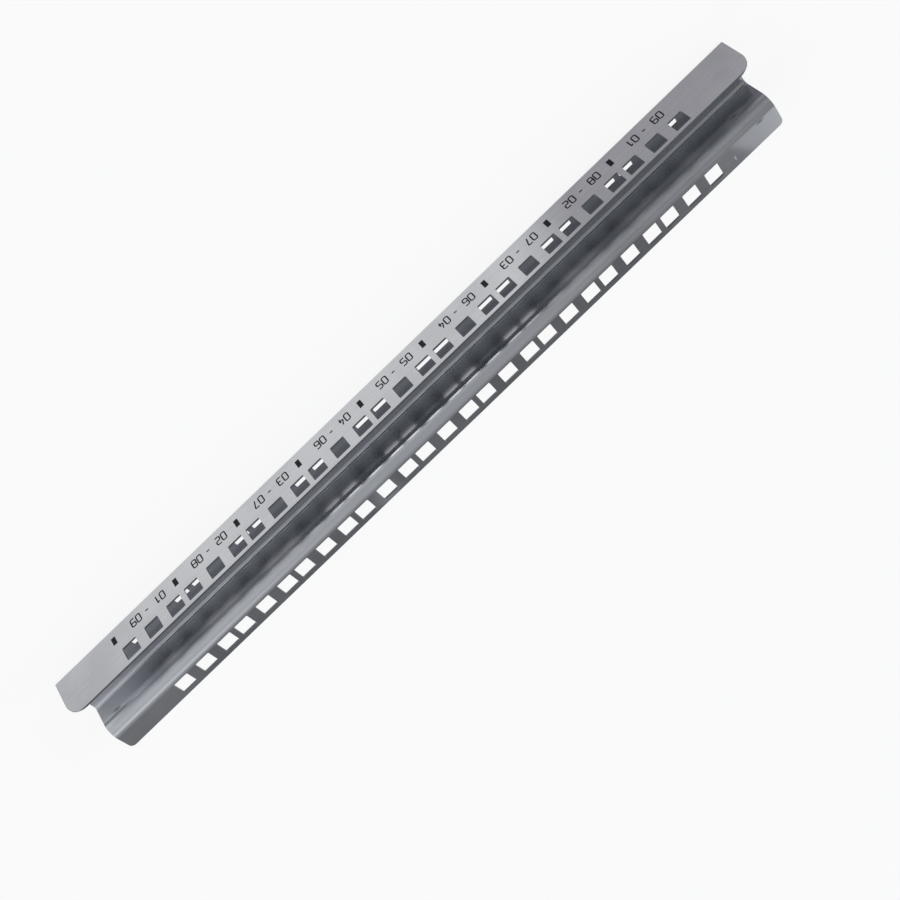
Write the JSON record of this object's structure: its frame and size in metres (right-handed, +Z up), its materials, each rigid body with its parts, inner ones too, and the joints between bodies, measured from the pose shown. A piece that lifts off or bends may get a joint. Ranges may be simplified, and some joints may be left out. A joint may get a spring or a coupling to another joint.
{
  "type": "rack mounting rail",
  "caption": "Straight zinc plated sheet steel rack rail with a channel section, an outward back flange and rows of square holes.",
  "frame": {"origin": "middle of the web's outer face, half way between the ends, on the floor", "axes": "+X along the rail in the reading direction of the unit numbers, -Y out of the numbered front flange, +Z up from the web"},
  "size_m": [0.48, 0.0521, 0.029],
  "materials": {
    "zinc_steel": "satin zinc plating",
    "black_ink": "printed unit numbers and tick blocks"
  },
  "bodies": {
    "root": {"mounting_rail": "zinc_steel"}
  },
  "joints": []
}
